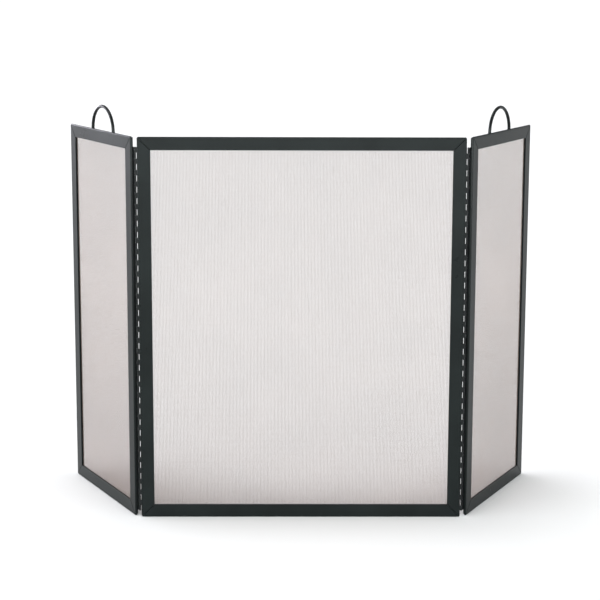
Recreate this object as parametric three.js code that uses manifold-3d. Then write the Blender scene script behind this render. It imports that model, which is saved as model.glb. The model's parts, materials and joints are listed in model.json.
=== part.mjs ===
// A three-panel folding fireplace screen: a centre panel with a wing on a continuous hinge at each side.
// Each panel is a mitred frame of flat steel bar. A woven wire sheet lies on the back of the frame and is
// clamped there by thin retainer bars and countersunk screws. Each wing has a loop handle on its top rail.
// Millimetres, +Z up, +X to the right, and -Y towards the room. The origin is on the floor, under the middle
// of the centre panel's bottom rail. The wings stand folded back, towards the fire.
import * as THREE from "three";
import { mergeVertices } from "three/addons/utils/BufferGeometryUtils.js";
import Module from "manifold-3d";

const wasm = await Module();
wasm.setup();

// Panels.
const PANEL_HEIGHT = 826;
const CENTRE_WIDTH = 690;
const WING_WIDTH = 340;
const FOLD_BACK = THREE.MathUtils.degToRad(61); // of each wing, from flat, as the screen stands

// Every face that rests on another keeps this much clear of it.
const CONTACT_GAP = 0.3;

// Frame bars, whose front edges are rounded over. The origin is halfway across the flat foot of the bar.
const BAR_WIDTH = 28;
const BAR_THICKNESS = 4;
const EDGE_RADIUS = 2;
const BAR_FRONT = -(BAR_THICKNESS + EDGE_RADIUS) / 2;
const BAR_BACK = BAR_FRONT + BAR_THICKNESS;

// Wire sheet, whose woven thickness is two wires.
const SHEET_THICKNESS = 0.8;
const SHEET_INSET = 6;
const SHEET_FRONT = BAR_BACK + CONTACT_GAP;
const SHEET_BACK = SHEET_FRONT + SHEET_THICKNESS;

// Retainer bars behind the sheet.
const RETAINER_INSET = 2;
const RETAINER_WIDTH = 24;
const RETAINER_THICKNESS = 1.6;
const RETAINER_FRONT = SHEET_BACK + CONTACT_GAP;
const RETAINER_BACK = RETAINER_FRONT + RETAINER_THICKNESS;

// Continuous hinges. Knuckles of the two leaves alternate, and both leaves lie on the panels' backs.
const KNUCKLE_COUNT = 66;
const KNUCKLE_LENGTH = 12;
const HINGE_LENGTH = KNUCKLE_COUNT * KNUCKLE_LENGTH;
const HINGE_BOTTOM = 12;
const HINGE_MIDDLE = HINGE_BOTTOM + HINGE_LENGTH / 2;
const HINGE_GAP = 8; // between the edges of two panels that stand in line
const BARREL_RADIUS = 1.9;
const CENTRE_NOTCH_GAP = 1.1; // between the barrel and the notches of the centre panel's leaf
const WING_NOTCH_GAP = 0.4;
const BORE_RADIUS = 1.1;
const PIN_RADIUS = 0.85;
const PIN_HEAD_RADIUS = 1.5;
const PIN_HEAD_LENGTH = 1;
const LEAF_THICKNESS = 0.8;
const LEAF_WIDTH = 17; // from the hinge's axis
const LEAF_FRONT = RETAINER_BACK + CONTACT_GAP;
const LEAF_BACK = LEAF_FRONT + LEAF_THICKNESS;
const AXIS_X = (CENTRE_WIDTH + HINGE_GAP) / 2;
const AXIS_Y = LEAF_FRONT + BARREL_RADIUS;

// Countersunk screws.
const SCREW_RADIUS = 1.5;
const SCREW_HEAD_RADIUS = 2.8;
const SCREW_HEAD_DEPTH = 1.3;
const SCREW_SIDES = 6;
const SCREW_TIP = BAR_BACK - 2.6;
const RAIL_SCREW_FROM_END = 60;
const STILE_SCREW_FROM_END = 150;
const LEAF_SCREW_FROM_END = 30;
const LEAF_SCREW_FROM_EDGE = 7.5;

// Loop handles of round rod, whose ends are turned down and let into the rail.
const HANDLE_HALF_WIDTH = 57; // to the middle of the rod
const HANDLE_HEIGHT = 52; // to the middle of the rod
const HANDLE_OFFSET = 18; // of its middle, from the middle of the wing towards the hinge
const ROD_RADIUS = 3.5;
const SPIGOT_RADIUS = 1.2;
const SPIGOT_LENGTH = 8;
const ROD_Y = (BAR_FRONT + BAR_BACK) / 2;

const blackPaint = { color: 0x1b1d1c, roughness: 0.45, metalness: 0.35 };
const greyWire = { color: 0x9c9592, roughness: 0.5, metalness: 0.6 };
const blackScrew = { color: 0x161616, roughness: 0.35, metalness: 0.6 };
const bareSteel = { color: 0x77787a, roughness: 0.35, metalness: 0.9 };

function part(name, geometry, finish) {
  const mesh = new THREE.Mesh(geometry, new THREE.MeshStandardMaterial(finish));
  mesh.name = name;
  return mesh;
}

function solid(geometry) {
  const bare = geometry.clone();
  bare.deleteAttribute("normal");
  bare.deleteAttribute("uv");
  const merged = mergeVertices(bare, 1e-4);
  const vertProperties = new Float32Array(merged.attributes.position.array);
  const triVerts = new Uint32Array(merged.index.array);
  return new wasm.Manifold(new wasm.Mesh({ numProp: 3, vertProperties, triVerts }));
}

function surface(body) {
  const { vertProperties, triVerts } = body.getMesh();
  const geometry = new THREE.BufferGeometry();
  geometry.setAttribute("position", new THREE.BufferAttribute(vertProperties, 3));
  geometry.setIndex(new THREE.BufferAttribute(triVerts, 1));
  geometry.computeVertexNormals();
  return geometry;
}

// Cuts the pockets, which are given in the panel's frame, out of a piece that is placed in that frame.
function drill(mesh, pockets) {
  mesh.updateMatrix();
  const toPiece = mesh.matrix.clone().invert();
  let body = solid(mesh.geometry);
  for (const pocket of pockets) body = body.subtract(solid(pocket.clone().applyMatrix4(toPiece)));
  mesh.geometry = surface(body);
}

// One side of a frame: its section has x inwards from the outer edge and y backwards. Both ends are mitred.
function mitredSide(section, length) {
  const side = new THREE.ExtrudeGeometry(section, { depth: length, bevelEnabled: false, curveSegments: 1 });
  const corners = side.attributes.position;
  for (let i = 0; i < corners.count; i++) {
    const setBack = corners.getX(i) + CONTACT_GAP / 2;
    corners.setZ(i, corners.getZ(i) > 0 ? length - setBack : setBack);
  }
  return side;
}

function barSection() {
  const section = new THREE.Shape();
  section.moveTo(0, BAR_BACK);
  section.lineTo(0, BAR_FRONT + EDGE_RADIUS);
  for (const [x, start] of [[EDGE_RADIUS, Math.PI], [BAR_WIDTH - EDGE_RADIUS, 1.5 * Math.PI]]) {
    section.absarc(x, BAR_FRONT + EDGE_RADIUS, EDGE_RADIUS, start, start + Math.PI / 2);
  }
  section.lineTo(BAR_WIDTH, BAR_BACK);
  return section;
}

function retainerSection() {
  const section = new THREE.Shape();
  section.moveTo(RETAINER_INSET, RETAINER_FRONT);
  section.lineTo(RETAINER_INSET + RETAINER_WIDTH, RETAINER_FRONT);
  section.lineTo(RETAINER_INSET + RETAINER_WIDTH, RETAINER_BACK);
  section.lineTo(RETAINER_INSET, RETAINER_BACK);
  return section;
}

// A screw along Y with its flat head at y = headFace, or with grow > 0 the pocket that it sits in.
function screw(headFace, grow) {
  const shank = SCREW_RADIUS + grow;
  const head = SCREW_HEAD_RADIUS + grow;
  const tip = SCREW_TIP - grow;
  const outline = [[0, tip], [shank, tip], [shank, headFace - SCREW_HEAD_DEPTH], [head, headFace]];
  if (grow > 0) outline.push([head, headFace + grow]);
  outline.push([0, headFace + grow]);
  const profile = outline.map(([radius, y]) => new THREE.Vector2(radius, y));
  return new THREE.LatheGeometry(profile, SCREW_SIDES);
}

// The frame, sheet, retainers and screws of one panel. Its origin is on the floor in the middle of its width.
// stiles names the left and the right stile. screws lists each screw's place and the face it is flush with.
function panel(name, width, stiles, screws) {
  const group = new THREE.Group();
  const half = width / 2;
  const sides = [
    { side: stiles[0], bar: "stile", length: PANEL_HEIGHT, x: -half, z: 0 },
    { side: "top", bar: "rail", length: width, x: -half, z: PANEL_HEIGHT },
    { side: stiles[1], bar: "stile", length: PANEL_HEIGHT, x: half, z: PANEL_HEIGHT },
    { side: "bottom", bar: "rail", length: width, x: half, z: 0 },
  ];
  const pieces = [];
  sides.forEach(({ side, bar, length, x, z }, quarter) => {
    for (const [title, section] of [[bar, barSection()], ["retainer", retainerSection()]]) {
      const piece = part(`${name}_${side}_${title}`, mitredSide(section, length), blackPaint);
      piece.position.set(x, 0, z);
      piece.rotation.y = (quarter * Math.PI) / 2;
      pieces.push(piece);
    }
  });
  const sheetWidth = width - 2 * SHEET_INSET;
  const sheetHeight = PANEL_HEIGHT - 2 * SHEET_INSET;
  const sheet = new THREE.BoxGeometry(sheetWidth, SHEET_THICKNESS, sheetHeight);
  const wire = part(name + "_wire_sheet", sheet, greyWire);
  wire.position.set(0, (SHEET_FRONT + SHEET_BACK) / 2, PANEL_HEIGHT / 2);
  pieces.push(wire);
  const pockets = screws.map(({ x, z, face }) => screw(face, CONTACT_GAP).translate(x, 0, z));
  for (const piece of pieces) {
    drill(piece, pockets);
    group.add(piece);
  }
  for (const { label, x, z, face } of screws) {
    const fixing = part(label, screw(face, 0), blackScrew);
    fixing.position.set(x, 0, z);
    group.add(fixing);
  }
  return group;
}

// Screws through the top and bottom retainers, near the corners of a panel.
function railScrews(name, width) {
  const screws = [];
  for (const [level, z] of [["bottom", BAR_WIDTH / 2], ["top", PANEL_HEIGHT - BAR_WIDTH / 2]]) {
    for (const [side, way] of [["left", -1], ["right", 1]]) {
      const x = way * (width / 2 - RAIL_SCREW_FROM_END);
      screws.push({ label: `${name}_${level}_${side}_screw`, x, z, face: RETAINER_BACK });
    }
  }
  return screws;
}

// Screws through a wing's outer retainer, on the side of the panel that way (-1 or 1) names.
function stileScrews(name, width, way) {
  const x = way * (width / 2 - BAR_WIDTH / 2);
  return [
    { label: name + "_outer_lower_screw", x, z: STILE_SCREW_FROM_END, face: RETAINER_BACK },
    { label: name + "_outer_upper_screw", x, z: PANEL_HEIGHT - STILE_SCREW_FROM_END, face: RETAINER_BACK },
  ];
}

// Screws through a hinge leaf, on the side of the panel that way (-1 or 1) names.
function leafScrews(name, width, way) {
  const x = way * (width / 2 - LEAF_SCREW_FROM_EDGE);
  const reach = HINGE_LENGTH / 2 - LEAF_SCREW_FROM_END;
  return [
    { label: name + "_lower_screw", x, z: HINGE_MIDDLE - reach, face: LEAF_BACK },
    { label: name + "_upper_screw", x, z: HINGE_MIDDLE + reach, face: LEAF_BACK },
  ];
}

// One hinge leaf about its axis: the plate lies towards -X and every second knuckle belongs to it. Half a
// turn about Y gives the leaf that fills the other knuckles' places.
function hingeLeaf(notchGap) {
  const edge = -(BARREL_RADIUS + notchGap);
  const front = -BARREL_RADIUS;
  const back = front + LEAF_THICKNESS;
  const plate = new THREE.BoxGeometry(LEAF_WIDTH + edge, LEAF_THICKNESS, HINGE_LENGTH);
  plate.translate((edge - LEAF_WIDTH) / 2, (front + back) / 2, 0);
  const rollEnd = Math.PI - Math.asin(back / BARREL_RADIUS);
  const root = edge - LEAF_THICKNESS;
  const roll = new THREE.Shape();
  roll.moveTo(root, back);
  roll.lineTo(root, front);
  roll.absarc(0, 0, BARREL_RADIUS, -Math.PI / 2, rollEnd);
  const bore = new THREE.Path();
  bore.absarc(0, 0, BORE_RADIUS, 0, 2 * Math.PI);
  roll.holes.push(bore);
  const length = KNUCKLE_LENGTH - CONTACT_GAP;
  const knuckle = new THREE.ExtrudeGeometry(roll, { depth: length, bevelEnabled: false, curveSegments: 3 });
  let body = solid(plate);
  for (let i = 0; i < KNUCKLE_COUNT; i += 2) {
    const bottom = i * KNUCKLE_LENGTH - HINGE_LENGTH / 2 + CONTACT_GAP / 2;
    body = body.add(solid(knuckle.clone().translate(0, 0, bottom)));
  }
  return surface(body);
}

// The hinge pin, a rod whose two ends are riveted over.
function hingePin() {
  const shoulder = HINGE_LENGTH / 2 + CONTACT_GAP;
  const end = shoulder + PIN_HEAD_LENGTH;
  const profile = [
    new THREE.Vector2(0, -end),
    new THREE.Vector2(PIN_HEAD_RADIUS, -shoulder),
    new THREE.Vector2(PIN_RADIUS, -shoulder),
    new THREE.Vector2(PIN_RADIUS, shoulder),
    new THREE.Vector2(PIN_HEAD_RADIUS, shoulder),
    new THREE.Vector2(0, end),
  ];
  return new THREE.LatheGeometry(profile, 8).rotateX(Math.PI / 2);
}

// The centre line of a loop handle: half an oval that stands on the rail.
class HalfOval extends THREE.Curve {
  getPoint(t, target = new THREE.Vector3()) {
    const angle = Math.PI * (1 - t);
    return target.set(HANDLE_HALF_WIDTH * Math.cos(angle), 0, HANDLE_HEIGHT * Math.sin(angle));
  }
}

function handleLoop() {
  const round = new THREE.Shape();
  round.absarc(0, 0, ROD_RADIUS, 0, 2 * Math.PI);
  const options = { steps: 16, extrudePath: new HalfOval(), curveSegments: 4 };
  let body = solid(new THREE.ExtrudeGeometry(round, options));
  for (const x of [-HANDLE_HALF_WIDTH, HANDLE_HALF_WIDTH]) body = body.add(solid(spigot(x, 0)));
  return surface(body);
}

// A turned-down end of the handle rod, or with grow > 0 the hole in the rail for it.
function spigot(x, grow) {
  const length = SPIGOT_LENGTH + ROD_RADIUS;
  const peg = new THREE.CylinderGeometry(SPIGOT_RADIUS + grow, SPIGOT_RADIUS + grow, length, 8);
  return peg.rotateX(Math.PI / 2).translate(x, 0, length / 2 - SPIGOT_LENGTH - grow);
}

const screen = new THREE.Group();

// Centre panel, with the two hinges' inner leaves and their pins.
const centre = panel("centre", CENTRE_WIDTH, ["left", "right"], [
  ...railScrews("centre", CENTRE_WIDTH),
  ...leafScrews("left_hinge_centre_leaf", CENTRE_WIDTH, -1),
  ...leafScrews("right_hinge_centre_leaf", CENTRE_WIDTH, 1),
]);
screen.add(centre);

// way is -1 for the left wing and 1 for the right one.
for (const [side, way] of [["left", -1], ["right", 1]]) {
  const name = side + "_wing";
  const hinge = side + "_hinge";
  const towardsCentre = way > 0 ? 0 : Math.PI;

  const centreLeaf = part(hinge + "_centre_leaf", hingeLeaf(CENTRE_NOTCH_GAP), blackPaint);
  centreLeaf.position.set(way * AXIS_X, AXIS_Y, HINGE_MIDDLE);
  centreLeaf.rotation.y = towardsCentre;
  const centreFixings = leafScrews(hinge, CENTRE_WIDTH, way);
  drill(centreLeaf, centreFixings.map(({ x, z, face }) => screw(face, CONTACT_GAP).translate(x, 0, z)));
  const pin = part(hinge + "_pin", hingePin(), bareSteel);
  pin.position.set(way * AXIS_X, AXIS_Y, HINGE_MIDDLE);
  centre.add(centreLeaf, pin);

  // The wing turns about its hinge's axis, which is the origin of this group.
  const wing = new THREE.Group();
  wing.position.set(way * AXIS_X, AXIS_Y, 0);
  wing.rotation.z = way * FOLD_BACK;
  const wingFixings = leafScrews(hinge + "_wing_leaf", WING_WIDTH, -way);
  const frame = panel(name, WING_WIDTH, way > 0 ? ["hinge", "outer"] : ["outer", "hinge"], [
    ...railScrews(name, WING_WIDTH),
    ...stileScrews(name, WING_WIDTH, way),
    ...wingFixings,
  ]);
  const middle = (way * (HINGE_GAP + WING_WIDTH)) / 2;
  frame.position.set(middle, -AXIS_Y, 0);

  const wingLeaf = part(hinge + "_wing_leaf", hingeLeaf(WING_NOTCH_GAP), blackPaint);
  wingLeaf.position.set(-middle, AXIS_Y, HINGE_MIDDLE);
  wingLeaf.rotation.y = Math.PI - towardsCentre;
  drill(wingLeaf, wingFixings.map(({ x, z, face }) => screw(face, CONTACT_GAP).translate(x, 0, z)));

  const handle = part(side + "_handle", handleLoop(), blackPaint);
  handle.position.set(-way * HANDLE_OFFSET, ROD_Y, PANEL_HEIGHT + CONTACT_GAP);
  const sockets = [-HANDLE_HALF_WIDTH, HANDLE_HALF_WIDTH].map((x) =>
    spigot(x, CONTACT_GAP).translate(handle.position.x, handle.position.y, handle.position.z),
  );
  drill(frame.children.find((piece) => piece.name === name + "_top_rail"), sockets);
  frame.add(wingLeaf, handle);
  wing.add(frame);
  screen.add(wing);
}

export default screen;
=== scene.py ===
import json
import math

import bmesh
import bpy
from mathutils import Matrix, Vector


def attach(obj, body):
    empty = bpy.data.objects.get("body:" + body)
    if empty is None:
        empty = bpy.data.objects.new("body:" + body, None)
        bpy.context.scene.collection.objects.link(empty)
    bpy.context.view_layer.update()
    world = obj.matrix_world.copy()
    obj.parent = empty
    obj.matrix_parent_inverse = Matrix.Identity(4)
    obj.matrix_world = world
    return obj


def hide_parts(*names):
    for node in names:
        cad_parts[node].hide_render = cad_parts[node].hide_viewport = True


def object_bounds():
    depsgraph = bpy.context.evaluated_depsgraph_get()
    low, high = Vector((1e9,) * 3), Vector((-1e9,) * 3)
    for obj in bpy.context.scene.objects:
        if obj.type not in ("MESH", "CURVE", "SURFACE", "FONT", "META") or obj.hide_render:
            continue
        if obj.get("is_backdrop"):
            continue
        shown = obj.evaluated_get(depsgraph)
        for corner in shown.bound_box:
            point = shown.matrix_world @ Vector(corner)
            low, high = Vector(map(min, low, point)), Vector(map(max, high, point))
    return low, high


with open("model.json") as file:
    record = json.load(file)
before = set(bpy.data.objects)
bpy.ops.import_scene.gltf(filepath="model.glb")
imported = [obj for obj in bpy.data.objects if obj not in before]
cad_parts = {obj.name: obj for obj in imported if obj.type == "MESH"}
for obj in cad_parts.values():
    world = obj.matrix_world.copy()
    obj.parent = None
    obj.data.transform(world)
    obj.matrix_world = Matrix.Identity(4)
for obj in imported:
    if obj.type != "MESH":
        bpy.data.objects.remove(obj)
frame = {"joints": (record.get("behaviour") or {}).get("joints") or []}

cad_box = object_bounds()

# --------------------------------------------------------------------------------------------------------
# Where the panels stand. Every panel is drawn upright with the middle of its foot over the origin and its
# front towards -Y. The centre panel stays there. A wing is swung back about the pin of its hinge.
# --------------------------------------------------------------------------------------------------------
HEIGHT = 0.826
WIDTH = {"centre_panel": 0.690, "left_wing": 0.340, "right_wing": 0.340}
FOLD_BACK = math.radians(61)

pins = {joint["child"]: Vector(joint["pos_m"]) for joint in frame["joints"]}
place = {"centre_panel": Matrix.Identity(4)}
for wing, pin in pins.items():
    way = math.copysign(1, pin.x)
    pin.z = 0
    middle = abs(pin.x) - WIDTH["centre_panel"] / 2 + WIDTH[wing] / 2
    swing = Matrix.Translation(pin) @ Matrix.Rotation(way * FOLD_BACK, 4, "Z")
    place[wing] = swing @ Matrix.Translation((way * middle, -pin.y, 0))


# --------------------------------------------------------------------------------------------------------
# The finish on the bars, strips, leaves and handles: satin black powder coat, baked on over the welded
# steel. It has a fine orange-peel surface, flows a little thick and thin, and holds some ash dust where it
# faces up.
# --------------------------------------------------------------------------------------------------------
class Shade:
    """A shader socket. Sums with it add Math nodes, and node() adds any other node."""

    def __init__(self, tree, socket=None):
        self.tree = tree
        self.socket = socket

    def node(self, kind, settings, sockets, output=0):
        made = self.tree.nodes.new(kind)
        for name, value in settings.items():
            setattr(made, name, value)
        for name, value in sockets.items():
            if isinstance(value, Shade):
                self.tree.links.new(value.socket, made.inputs[name])
            else:
                made.inputs[name].default_value = value
        return Shade(self.tree, made.outputs[output] if made.outputs else None)

    def math(self, operation, first, second):
        return self.node("ShaderNodeMath", {"operation": operation}, {0: first, 1: second})

    def __add__(self, other):
        return self.math("ADD", self, other)

    def __sub__(self, other):
        return self.math("SUBTRACT", self, other)

    def __mul__(self, other):
        return self.math("MULTIPLY", self, other)

    def __rsub__(self, other):
        return self.math("SUBTRACT", other, self)

    __radd__ = __add__
    __rmul__ = __mul__

    def mix(self, first, second):
        """The colour first where this is 0, and second where it is 1."""
        return self.node("ShaderNodeMix", {"data_type": "RGBA"}, {0: self, 6: first, 7: second}, 2)

    def spread(self, low, high):
        """0 where this is low or less, 1 where it is high or more."""
        return self.node("ShaderNodeMapRange", {}, {"Value": self, "From Min": low, "From Max": high})


def new_finish(name):
    """An empty material, and a shade to draw it with."""
    finish = bpy.data.materials.new(name)
    finish.use_nodes = True
    finish.node_tree.nodes.clear()
    return finish, Shade(finish.node_tree)


def noise(shade, where, size, detail=2.0):
    """Cloudy noise from 0 to 1 whose lumps are size metres across."""
    return shade.node("ShaderNodeTexNoise", {}, {"Vector": where, "Scale": 1 / size, "Detail": detail})


def finish_off(shade, sockets):
    """Adds the surface shader and the material's output."""
    surface = shade.node("ShaderNodeBsdfPrincipled", {}, sockets)
    shade.node("ShaderNodeOutputMaterial", {}, {"Surface": surface})


def powder_coat(name, tone, dust):
    finish, shade = new_finish(name)
    where = shade.node("ShaderNodeTexCoord", {}, {}, "Object")
    facing = shade.node("ShaderNodeNewGeometry", {}, {}, "Normal")
    upwards = shade.node("ShaderNodeSeparateXYZ", {}, {"Vector": facing}, "Z").spread(0.6, 1.0)
    thick = noise(shade, where, 0.09)
    blotch = noise(shade, where, 0.014, 4.0)
    peel = noise(shade, where, 0.0011, 1.0)
    dark = tuple(0.82 * part for part in tone) + (1,)
    light = tuple(1.25 * part for part in tone) + (1,)
    body = thick.spread(0.3, 0.7).mix(dark, light)
    dusty = upwards * blotch.spread(0.35, 0.75) * dust
    colour = dusty.mix(body, (0.16, 0.155, 0.15, 1))
    roughness = 0.22 + 0.08 * thick + 0.08 * blotch + 0.25 * dusty
    bump = shade.node("ShaderNodeBump", {}, {"Strength": 0.25, "Distance": 0.00004, "Height": peel})
    sockets = {"Base Color": colour, "Roughness": roughness, "Specular IOR Level": 0.12, "Normal": bump}
    finish_off(shade, sockets)
    return finish


bar_paint = powder_coat("satin_black_powder_coat", (0.0040, 0.0058, 0.0057), 0.25)


# --------------------------------------------------------------------------------------------------------
# The frame bars: flat mild steel, rounded over along the front edges, sawn to 45 degrees at both ends and
# welded into a frame. The outer corners are ground round, and a hairline shows at each mitre under the paint.
# --------------------------------------------------------------------------------------------------------
BAR_WIDTH = 0.028
BAR_DEPTH = (-0.003, 0.001)
BAR_EDGE = 0.002
CORNER_ROUND = 0.0035
MITRE_LINE = 0.0006
BACK_EDGE = 0.0003
MITRE_GAP = 0.0003


def add_piece(bm, name, body, finish, nodes=(), sharp=40):
    """Makes an object of a drawn piece, which already is in its place."""
    mesh = bpy.data.meshes.new(name)
    bm.to_mesh(mesh)
    bm.free()
    mesh.polygons.foreach_set("use_smooth", [True] * len(mesh.polygons))
    mesh.set_sharp_from_angle(angle=math.radians(sharp))
    mesh.materials.append(finish)
    piece = bpy.data.objects.new(name, mesh)
    bpy.context.scene.collection.objects.link(piece)
    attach(piece, body)
    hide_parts(*nodes)
    return piece


def move(bm, matrix):
    bmesh.ops.transform(bm, matrix=matrix, verts=bm.verts)


def round_over(bm, edges, radius, segments):
    bmesh.ops.bevel(
        bm, geom=edges, offset=radius, segments=segments, profile=0.5, affect="EDGES", material=-1
    )


def mitred_bar(length, inset, width, depth, edge, corner, gap):
    """A bar along X, inset above z = 0. Its ends are sawn at 45 degrees through x = +-length / 2, z = 0."""
    bm = bmesh.new()
    bmesh.ops.create_cube(bm, size=1)
    bmesh.ops.scale(bm, vec=(length - 2 * inset, depth[1] - depth[0], width), verts=bm.verts)
    bmesh.ops.translate(bm, vec=(0, (depth[0] + depth[1]) / 2, inset + width / 2), verts=bm.verts)
    low = [e for e in bm.edges if all(v.co.z < inset + width / 2 for v in e.verts)]
    corners = [e for e in low if abs(e.verts[0].co.y - e.verts[1].co.y) > (depth[1] - depth[0]) / 2]
    round_over(bm, corners, corner, 6)
    end = length / 2 - inset - 1e-5
    lengthwise = [e for e in bm.edges if not all(abs(v.co.x) > end for v in e.verts)]
    front = [e for e in lengthwise if all(v.co.y < depth[0] + 1e-6 for v in e.verts)]
    back = [e for e in lengthwise if all(v.co.y > depth[1] - 1e-6 for v in e.verts)]
    round_over(bm, front, edge, 5)
    round_over(bm, back, BACK_EDGE, 1)
    for way in (-1, 1):
        saw = bmesh.ops.bisect_plane(
            bm,
            geom=bm.verts[:] + bm.edges[:] + bm.faces[:],
            plane_co=(way * (length / 2 - gap), 0, 0),
            plane_no=Vector((way, 0, 1)).normalized(),
            clear_outer=True,
        )
        cut = [e for e in saw["geom_cut"] if isinstance(e, bmesh.types.BMEdge)]
        bmesh.ops.edgeloop_fill(bm, edges=cut)
        shown = [e for e in cut if e.is_valid and all(v.co.y < depth[1] - 0.0006 for v in e.verts)]
        round_over(bm, shown, MITRE_LINE, 1)
    return bm


sides = {
    "bottom": (0, (0, 0, 0)),
    "left": (90, (-0.5, 0, 0.5)),
    "top": (180, (0, 0, 1)),
    "right": (270, (0.5, 0, 0.5)),
}


def side_names(body):
    """What the CAD nodes of a panel's four sides are called."""
    stile = {
        "centre_panel": ("left", "right"),
        "left_wing": ("outer", "hinge"),
        "right_wing": ("hinge", "outer"),
    }[body]
    return {"bottom": "bottom", "left": stile[0], "top": "top", "right": stile[1]}


def set_round(body, inset, width, depth, edge, corner, gap):
    """Draws the four bars that go round a panel, in their places. Gives side and bar."""
    for side, (turn, spot) in sides.items():
        length = WIDTH[body] if side in ("bottom", "top") else HEIGHT
        bm = mitred_bar(length, inset, width, depth, edge, corner, gap)
        to = Vector((spot[0] * WIDTH[body], 0, spot[2] * HEIGHT))
        move(bm, place[body] @ Matrix.Translation(to) @ Matrix.Rotation(math.radians(turn), 4, "Y"))
        yield side, bm


for body in WIDTH:
    panel = body.replace("_panel", "")
    for side, bm in set_round(body, 0, BAR_WIDTH, BAR_DEPTH, BAR_EDGE, CORNER_ROUND, MITRE_GAP):
        kind = "rail" if side in ("bottom", "top") else "stile"
        node = f"{panel}_{side_names(body)[side]}_{kind}"
        add_piece(bm, node + "_bar", body, bar_paint, [node])


# --------------------------------------------------------------------------------------------------------
# The wire sheets: woven steel wire, whose crosswires go over one upright and under the next. A sheet lies
# against the back of its frame and reaches a little way under the bars, where the retainers clamp it.
# --------------------------------------------------------------------------------------------------------
UPRIGHT = 0.00018
CROSSWIRE = 0.00025
UPRIGHT_PITCH = 0.003
CROSSWIRE_PITCH = 0.0012
SHEET_Y = 0.0017
UNDER_BARS = 0.006
CRIMP = 0.92


def wire_cloth_finish():
    finish, shade = new_finish("woven_steel_wire")
    where = shade.node("ShaderNodeTexCoord", {}, {}, "Object")
    cloud = noise(shade, where, 0.12, 3.0)
    speck = noise(shade, where, 0.004)
    colour = cloud.spread(0.3, 0.7).mix((0.175, 0.120, 0.100, 1), (0.220, 0.155, 0.131, 1))
    roughness = 0.50 + 0.12 * speck
    finish_off(shade, {"Base Color": colour, "Roughness": roughness, "Metallic": 0.4})
    return finish


def lay(bm, name, body, node, step, count):
    """Lays the drawn wires into a sheet, count times over, a step further every time."""
    move(bm, place[body] @ Matrix.Translation((0, SHEET_Y, HEIGHT / 2)))
    piece = add_piece(bm, name, body, wire_finish, [node], 180)
    rows = piece.modifiers.new("rows", "ARRAY")
    rows.use_relative_offset = False
    rows.use_constant_offset = True
    rows.constant_offset_displace = place[body].to_3x3() @ Vector(step)
    rows.count = count


def crimped_pair(bm, crossings, pitch, rise):
    """Two wires along X, one above the other, that pass in front of and behind the uprights by turns."""
    for first, height in ((1, 0), (-1, rise)):
        bend = first * (UPRIGHT + CROSSWIRE) * CRIMP
        ring = bmesh.ops.create_circle(bm, cap_ends=True, segments=3, radius=CROSSWIRE)["verts"]
        edges = list({e for v in ring for e in v.link_edges})
        bmesh.ops.rotate(bm, cent=(0, 0, 0), matrix=Matrix.Rotation(math.pi / 2, 3, "Y"), verts=ring)
        bmesh.ops.translate(bm, vec=(-(crossings - 1) * pitch / 2, bend, height), verts=ring)
        for _ in range(crossings - 1):
            grown = bmesh.ops.extrude_edge_only(bm, edges=edges)["geom"]
            ring = {v for v in grown if isinstance(v, bmesh.types.BMVert)}
            edges = [e for e in grown if isinstance(e, bmesh.types.BMEdge) and ring.issuperset(e.verts)]
            bmesh.ops.translate(bm, vec=(pitch, -2 * bend, 0), verts=list(ring))
            bend = -bend
        bmesh.ops.edgeloop_fill(bm, edges=edges)
    bmesh.ops.recalc_face_normals(bm, faces=bm.faces)


wire_finish = wire_cloth_finish()
for body in WIDTH:
    node = body.replace("_panel", "") + "_wire_sheet"
    across = WIDTH[body] - 2 * (BAR_WIDTH - UNDER_BARS)
    tall = HEIGHT - 2 * (BAR_WIDTH - UNDER_BARS)
    uprights = round(across / UPRIGHT_PITCH)
    pitch = across / (uprights - 1)
    bm = bmesh.new()
    ring = bmesh.ops.create_circle(bm, cap_ends=True, segments=6, radius=UPRIGHT)["verts"]
    bmesh.ops.translate(bm, vec=(-across / 2, 0, -tall / 2), verts=ring)
    grown = bmesh.ops.extrude_edge_only(bm, edges=bm.edges[:])["geom"]
    upper = [v for v in grown if isinstance(v, bmesh.types.BMVert)]
    bmesh.ops.translate(bm, vec=(0, 0, tall), verts=upper)
    top = [e for e in bm.edges if all(v.co.z > 0 for v in e.verts)]
    bmesh.ops.edgeloop_fill(bm, edges=top)
    bmesh.ops.recalc_face_normals(bm, faces=bm.faces)
    lay(bm, node + "_uprights", body, node, (pitch, 0, 0), uprights)
    parts = 5 if body == "centre_panel" else 3
    pairs = round(tall / CROSSWIRE_PITCH / 2 / parts)
    rise = tall / (2 * pairs * parts - 1)
    for part in range(parts):
        bm = bmesh.new()
        crimped_pair(bm, uprights, pitch, rise)
        bmesh.ops.translate(bm, vec=(0, 0, 2 * part * pairs * rise - tall / 2), verts=bm.verts)
        lay(bm, f"{node}_crosswires_{part + 1}", body, node, (0, 0, 2 * rise), pairs)


# --------------------------------------------------------------------------------------------------------
# The retainers: thin steel strip, powder coated and mitred like the bars. It is screwed to the back of each
# frame and clamps the wire sheet there.
# --------------------------------------------------------------------------------------------------------
RETAINER_INSET = 0.002
RETAINER_WIDTH = 0.024
RETAINER_DEPTH = (0.0024, 0.0040)
RETAINER_EDGE = 0.0003
RETAINER_CORNER = 0.001
RETAINER_GAP = 0.0001

strip_paint = powder_coat("black_powder_coat_on_strip", (0.0085, 0.0098, 0.0100), 0.2)
for body in WIDTH:
    panel = body.replace("_panel", "")
    for side, bm in set_round(
        body, RETAINER_INSET, RETAINER_WIDTH, RETAINER_DEPTH, RETAINER_EDGE, RETAINER_CORNER, RETAINER_GAP
    ):
        node = f"{panel}_{side_names(body)[side]}_retainer"
        add_piece(bm, node + "_strip", body, strip_paint, [node])


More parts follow.
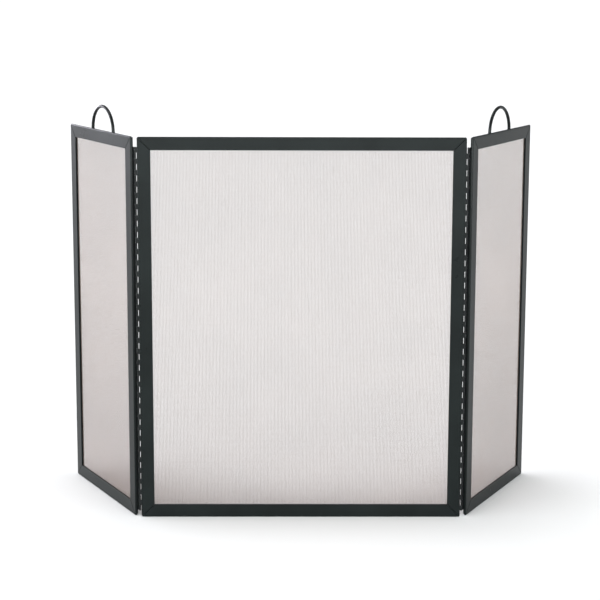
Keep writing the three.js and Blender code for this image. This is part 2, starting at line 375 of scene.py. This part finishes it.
# --------------------------------------------------------------------------------------------------------
# The continuous hinges: two leaves of steel strip, notched along one edge, with the tongues left between
# the notches rolled round a steel wire pin that is riveted over at both ends.
# --------------------------------------------------------------------------------------------------------
KNUCKLES = 66
KNUCKLE = 0.012
KNUCKLE_PLAY = 0.0001
HINGE_FOOT = 0.012
LEAF = 0.0008
BARREL = 0.0019
LEAF_REACH = 0.017
LEAF_EDGE = 0.00012
CENTRE_NOTCH = 0.0030
WING_NOTCH = 0.0023
PIN = 0.00095
PIN_HEAD = 0.0015


def rolled_leaf(notch):
    """The middle surface of a leaf that lies towards -X and has every second knuckle."""
    bm = bmesh.new()
    sheet_y = LEAF / 2 - BARREL
    last = bm.verts.new((-notch, sheet_y, 0))
    tongues = []
    for knuckle in range(KNUCKLES):
        for rise, rolled in (
            (KNUCKLE_PLAY, False), (KNUCKLE - 2 * KNUCKLE_PLAY, True), (KNUCKLE_PLAY, False),
        ):
            top = bmesh.ops.extrude_vert_indiv(bm, verts=[last])
            last = top["verts"][0]
            bmesh.ops.translate(bm, vec=(0, 0, rise), verts=[last])
            if rolled and knuckle % 2 == 0:
                tongues += top["edges"]
    plate = bmesh.ops.extrude_edge_only(bm, edges=bm.edges[:])["geom"]
    back = [v for v in plate if isinstance(v, bmesh.types.BMVert)]
    bmesh.ops.translate(bm, vec=(notch - LEAF_REACH, 0, 0), verts=back)
    tongue = bmesh.ops.extrude_edge_only(bm, edges=tongues)["geom"]
    tips = [v for v in tongue if isinstance(v, bmesh.types.BMVert)]
    bmesh.ops.translate(bm, vec=(notch, 0, 0), verts=tips)
    edge = [e for e in tongue if isinstance(e, bmesh.types.BMEdge) and all(v in tips for v in e.verts)]
    roll = math.radians(285)
    bmesh.ops.spin(bm, geom=tips + edge, cent=(0, 0, 0), axis=(0, 0, 1), angle=roll, steps=14)
    bmesh.ops.recalc_face_normals(bm, faces=bm.faces)
    return bm


def turned(bm, profile, steps):
    """A round solid about Z. profile gives radius and height, and starts and ends on the axis."""
    start = bm.verts.new((profile[0][0], 0, profile[0][1]))
    chain, last = [start], start
    edges = []
    for radius, height in profile[1:]:
        grown = bmesh.ops.extrude_vert_indiv(bm, verts=[last])
        last = grown["verts"][0]
        last.co = (radius, 0, height)
        chain.append(last)
        edges += grown["edges"]
    full = 2 * math.pi
    bmesh.ops.spin(
        bm, geom=chain + edges, cent=(0, 0, 0), axis=(0, 0, 1), angle=full, steps=steps, use_merge=True
    )
    bmesh.ops.remove_doubles(bm, verts=bm.verts, dist=1e-7)
    bmesh.ops.recalc_face_normals(bm, faces=bm.faces)


leaf_paint = powder_coat("black_powder_coat_on_hinge", (0.0085, 0.0095, 0.0098), 0.2)


def pin_steel():
    finish, shade = new_finish("drawn_steel_pin")
    where = shade.node("ShaderNodeTexCoord", {}, {}, "Object")
    stain = noise(shade, where, 0.006, 4.0).spread(0.35, 0.7)
    colour = stain.mix((0.34, 0.34, 0.35, 1), (0.19, 0.17, 0.155, 1))
    finish_off(shade, {"Base Color": colour, "Roughness": 0.3 + 0.25 * stain, "Metallic": 0.9})
    return finish


pin_finish = pin_steel()
length = KNUCKLES * KNUCKLE
for wing, pin in pins.items():
    hinge = wing.replace("wing", "hinge")
    way = math.copysign(1, pin.x)
    foot = Matrix.Translation(pin + Vector((0, 0, HINGE_FOOT)))
    half_turn = Matrix.Translation((0, 0, length)) @ Matrix.Rotation(math.pi, 4, "Y")
    swing = Matrix.Rotation(way * FOLD_BACK, 4, "Z")
    for body, part, notch, turn in (
        ("centre_panel", "_centre_leaf", CENTRE_NOTCH, Matrix.Identity(4) if way > 0 else half_turn),
        (wing, "_wing_leaf", WING_NOTCH, swing @ (half_turn if way > 0 else Matrix.Identity(4))),
    ):
        node = hinge + part
        bm = rolled_leaf(notch)
        move(bm, foot @ turn)
        piece = add_piece(bm, node + "_rolled", body, leaf_paint, [node])
        metal = piece.modifiers.new("thickness", "SOLIDIFY")
        metal.thickness = LEAF
        metal.offset = 0
        edge = piece.modifiers.new("edge", "BEVEL")
        edge.width = LEAF_EDGE
        edge.segments = 1
        edge.harden_normals = True
    bm = bmesh.new()
    rivet = [(0, 0.0012), (PIN_HEAD * 0.6, 0.0011), (PIN_HEAD, 0.0006), (PIN_HEAD, 0.0001), (PIN, 0.0001)]
    lower = [(radius, -rise) for radius, rise in rivet]
    upper = [(radius, length + rise) for radius, rise in reversed(rivet)]
    turned(bm, lower + upper, 20)
    move(bm, foot)
    add_piece(bm, hinge + "_pin_wire", "centre_panel", pin_finish, [hinge + "_pin"])


# --------------------------------------------------------------------------------------------------------
# The screws: black countersunk machine screws with a hexagon socket, tapped into the frame bars from the
# back. They hold the retainers and the hinge leaves.
# --------------------------------------------------------------------------------------------------------
SCREW_HEAD = 0.0028
HEAD_CONE = 0.0009
CROWN = 0.0003
SOCKET = 0.0011
SOCKET_DEPTH = 0.0009
RAIL_SCREW_FROM_END = 0.060
STILE_SCREW_FROM_END = 0.150
LEAF_SCREW_FROM_END = 0.030
LEAF_SCREW_FROM_EDGE = 0.0075


def blackened_steel():
    finish, shade = new_finish("blackened_steel")
    where = shade.node("ShaderNodeTexCoord", {}, {}, "Object")
    rub = noise(shade, where, 0.0016, 3.0).spread(0.45, 0.75)
    colour = rub.mix((0.015, 0.015, 0.016, 1), (0.075, 0.07, 0.066, 1))
    finish_off(shade, {"Base Color": colour, "Roughness": 0.32 + 0.2 * rub, "Metallic": 0.7})
    return finish


def screw_head():
    """A head seen from +Z, whose rim is at z = 0, with a short stretch of its cone below."""
    bm = bmesh.new()
    bmesh.ops.create_circle(bm, segments=24, radius=SCREW_HEAD)
    rim_edges = bm.edges[:]
    cone = bmesh.ops.extrude_edge_only(bm, edges=rim_edges)["geom"]
    low = [v for v in cone if isinstance(v, bmesh.types.BMVert)]
    bmesh.ops.translate(bm, vec=(0, 0, -HEAD_CONE), verts=low)
    bmesh.ops.scale(bm, vec=(0.6, 0.6, 1), verts=low)
    bmesh.ops.edgeloop_fill(bm, edges=[e for e in bm.edges if all(v in low for v in e.verts)])
    crown = bmesh.ops.extrude_edge_only(bm, edges=rim_edges)["geom"]
    top = [v for v in crown if isinstance(v, bmesh.types.BMVert)]
    bmesh.ops.scale(bm, vec=(0.68, 0.68, 1), verts=top)
    bmesh.ops.translate(bm, vec=(0, 0, CROWN), verts=top)
    top_edges = [e for e in bm.edges if all(v in top for v in e.verts)]
    hexagon = bmesh.ops.create_circle(bm, segments=6, radius=SOCKET)["verts"]
    bmesh.ops.translate(bm, vec=(0, 0, CROWN), verts=hexagon)
    hexagon_edges = [e for e in bm.edges if all(v in hexagon for v in e.verts)]
    bmesh.ops.bridge_loops(bm, edges=top_edges + hexagon_edges)
    wall = bmesh.ops.extrude_edge_only(bm, edges=hexagon_edges)["geom"]
    floor = [v for v in wall if isinstance(v, bmesh.types.BMVert)]
    bmesh.ops.translate(bm, vec=(0, 0, -SOCKET_DEPTH), verts=floor)
    bmesh.ops.edgeloop_fill(bm, edges=[e for e in bm.edges if all(v in floor for v in e.verts)])
    bmesh.ops.recalc_face_normals(bm, faces=bm.faces)
    return bm


def drive_screw(name, body, x, y, z, nodes=()):
    """A screw in a panel's back, at x and z of the panel, with its rim flush with y."""
    bm = screw_head()
    move(bm, place[body] @ Matrix.Translation((x, y, z)) @ Matrix.Rotation(math.radians(-90), 4, "X"))
    add_piece(bm, name, body, screw_finish, nodes)


def along(low, high, count):
    """count places from low to high, evenly apart."""
    return [low + (high - low) * i / (count - 1) for i in range(count)]


screw_finish = blackened_steel()
leaf_back = RETAINER_DEPTH[1] + 0.0003 + LEAF
for body in WIDTH:
    panel = body.replace("_panel", "")
    reach = WIDTH[body] / 2 - RAIL_SCREW_FROM_END
    for level, z in (("bottom", BAR_WIDTH / 2), ("top", HEIGHT - BAR_WIDTH / 2)):
        spots = along(-reach, reach, 4 if body == "centre_panel" else 3)
        for end, x in (("left", spots[0]), ("right", spots[-1])):
            node = f"{panel}_{level}_{end}_screw"
            drive_screw(node + "_head", body, x, RETAINER_DEPTH[1], z, [node])
        for i, x in enumerate(spots[1:-1]):
            drive_screw(f"{panel}_{level}_inner_screw_head_{i + 1}", body, x, RETAINER_DEPTH[1], z)
for wing, pin in pins.items():
    way = math.copysign(1, pin.x)
    hinge = wing.replace("wing", "hinge")
    x = way * (WIDTH[wing] / 2 - BAR_WIDTH / 2)
    spots = along(STILE_SCREW_FROM_END, HEIGHT - STILE_SCREW_FROM_END, 4)
    for end, z in (("lower", spots[0]), ("upper", spots[-1])):
        node = f"{wing}_outer_{end}_screw"
        drive_screw(node + "_head", wing, x, RETAINER_DEPTH[1], z, [node])
    for i, z in enumerate(spots[1:-1]):
        drive_screw(f"{wing}_outer_inner_screw_head_{i + 1}", wing, x, RETAINER_DEPTH[1], z)
    spots = along(HINGE_FOOT + LEAF_SCREW_FROM_END, HINGE_FOOT + length - LEAF_SCREW_FROM_END, 7)
    for body, part, side in (("centre_panel", "centre_leaf", way), (wing, "wing_leaf", -way)):
        leaf = f"{hinge}_{part}"
        x = side * (WIDTH[body] / 2 - LEAF_SCREW_FROM_EDGE)
        for end, z in (("lower", spots[0]), ("upper", spots[-1])):
            drive_screw(f"{leaf}_{end}_screw_head", body, x, leaf_back, z, [f"{leaf}_{end}_screw"])
        for i, z in enumerate(spots[1:-1]):
            drive_screw(f"{leaf}_inner_screw_head_{i + 1}", body, x, leaf_back, z)


# --------------------------------------------------------------------------------------------------------
# The loop handles: round steel rod bent to half an oval. Its ends are let into the top rail of a wing, and
# a bead of weld runs round each foot.
# --------------------------------------------------------------------------------------------------------
LOOP_HALF = 0.057
LOOP_HEIGHT = 0.052
LOOP_OFFSET = 0.018
BENDS = 48
ROD = 0.0035
ROD_Y = -0.001

rod_paint = powder_coat("black_powder_coat_on_rod", (0.0045, 0.0055, 0.0056), 0.15)
for wing, pin in pins.items():
    bm = bmesh.new()
    ring = bmesh.ops.create_circle(bm, cap_ends=True, segments=16, radius=ROD)["verts"]
    edges = bm.edges[:]
    stand = Matrix.Translation((-LOOP_HALF, 0, -0.001))
    bmesh.ops.transform(bm, matrix=stand, verts=ring)
    for step in range(BENDS + 1):
        turn = math.pi * step / BENDS
        spot = Vector((-LOOP_HALF * math.cos(turn), 0, LOOP_HEIGHT * math.sin(turn)))
        lean = math.atan2(LOOP_HALF * math.sin(turn), LOOP_HEIGHT * math.cos(turn))
        stood, stand = stand, Matrix.Translation(spot) @ Matrix.Rotation(lean, 4, "Y")
        grown = bmesh.ops.extrude_edge_only(bm, edges=edges)["geom"]
        ring = {v for v in grown if isinstance(v, bmesh.types.BMVert)}
        edges = [e for e in grown if isinstance(e, bmesh.types.BMEdge) and ring.issuperset(e.verts)]
        bmesh.ops.transform(bm, matrix=stand @ stood.inverted(), verts=list(ring))
    bmesh.ops.edgeloop_fill(bm, edges=edges)
    bmesh.ops.recalc_face_normals(bm, faces=bm.faces)
    middle = -math.copysign(LOOP_OFFSET, pin.x)
    move(bm, place[wing] @ Matrix.Translation((middle, ROD_Y, HEIGHT + 0.0003)))
    node = wing.replace("wing", "handle")
    add_piece(bm, node + "_rod", wing, rod_paint, [node])
    for foot_name, x in (("left", middle - LOOP_HALF), ("right", middle + LOOP_HALF)):
        bm = bmesh.new()
        turned(bm, [
            (0, -0.0002), (0.0050, -0.0002), (0.0049, 0.0006),
            (0.0043, 0.0014), (0.0034, 0.0021), (0, 0.0021),
        ], 28)
        for v in bm.verts:
            ripple = 1 + 0.05 * math.sin(9 * math.atan2(v.co.y, v.co.x))
            v.co.x *= ripple
            v.co.y *= 0.72 * ripple
        move(bm, place[wing] @ Matrix.Translation((x, ROD_Y, HEIGHT)))
        add_piece(bm, f"{node}_{foot_name}_weld", wing, rod_paint)


# --------------------------------------------------------------------------------------------------------
# The room: a pale floor, a white surround that is brighter to the left and behind than on the camera's
# side, a wide soft light overhead, and the camera a little above the screen's top, looking down at it.
# --------------------------------------------------------------------------------------------------------
def stage_floor():
    finish, shade = new_finish("pale_floor")
    where = shade.node("ShaderNodeTexCoord", {}, {}, "Object")
    cloud = noise(shade, where, 0.5)
    colour = cloud.mix((0.90, 0.90, 0.90, 1), (0.93, 0.93, 0.93, 1))
    finish_off(shade, {"Base Color": colour, "Roughness": 0.9, "Specular IOR Level": 0.1})
    bm = bmesh.new()
    bmesh.ops.create_grid(bm, x_segments=2, y_segments=2, size=30)
    mesh = bpy.data.meshes.new("floor")
    bm.to_mesh(mesh)
    bm.free()
    mesh.materials.append(finish)
    floor = bpy.data.objects.new("floor", mesh)
    bpy.context.scene.collection.objects.link(floor)
    floor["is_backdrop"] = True


stage_floor()

world = bpy.data.worlds.new("surround")
world.use_nodes = True
world.node_tree.nodes.clear()
sky = Shade(world.node_tree)
look = sky.node("ShaderNodeTexCoord", {}, {}, "Generated")
x = sky.node("ShaderNodeSeparateXYZ", {}, {"Vector": look}, "X")
y = sky.node("ShaderNodeSeparateXYZ", {}, {"Vector": look}, "Y")
z = sky.node("ShaderNodeSeparateXYZ", {}, {"Vector": look}, "Z")
low = 1 - z.spread(0.3, 0.7)
behind = y.spread(-0.35, 0.35)
left = (-1 * x).spread(0.2, 0.6) * behind * low
right = x.spread(0.2, 0.6) * behind * low
front = (1 - behind) * low
band = z.spread(-0.01, 0.05) * (1 - z.spread(0.10, 0.22))
strength = 0.16 + 0.90 * low - 0.72 * right - 0.78 * front + band * (19.0 * left + 19.0 * front)
tint = left.mix((1, 1, 1, 1), (1.0, 0.98, 1.10, 1))
tint = right.mix(tint, (1.0, 0.98, 1.08, 1))
tint = front.mix(tint, (0.93, 1.0, 1.0, 1))
shine = sky.node("ShaderNodeBackground", {}, {"Color": tint, "Strength": strength})
sky.node("ShaderNodeOutputWorld", {}, {"Surface": shine})
bpy.context.scene.world = world


lamp = bpy.data.lights.new("overhead_light", "SUN")
lamp.energy = 2.0
lamp.angle = math.radians(40)
light = bpy.data.objects.new("overhead_light", lamp)
light.rotation_euler = (math.radians(2), math.radians(-6), 0)
bpy.context.scene.collection.objects.link(light)

camera_data = bpy.data.cameras.new("camera")
camera_data.sensor_width = 36
camera_data.lens = 36 * 1580.4 / 600
camera_data.shift_y = -0.1
camera = bpy.data.objects.new("camera", camera_data)
camera.matrix_world = (
    Matrix.Translation((-0.0294, -3.2896, 1.1481))
    @ Matrix.Rotation(math.radians(-0.451), 4, "Z")
    @ Matrix.Rotation(math.radians(90 - 9.318), 4, "X")
    @ Matrix.Rotation(math.radians(0.166), 4, "Z")
)
bpy.context.scene.collection.objects.link(camera)
bpy.context.scene.camera = camera
bpy.context.scene.view_settings.view_transform = "Standard"

boxes = {"cad": cad_box, "visual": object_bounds()}
{name: [list(corner) for corner in box] for name, box in boxes.items()}
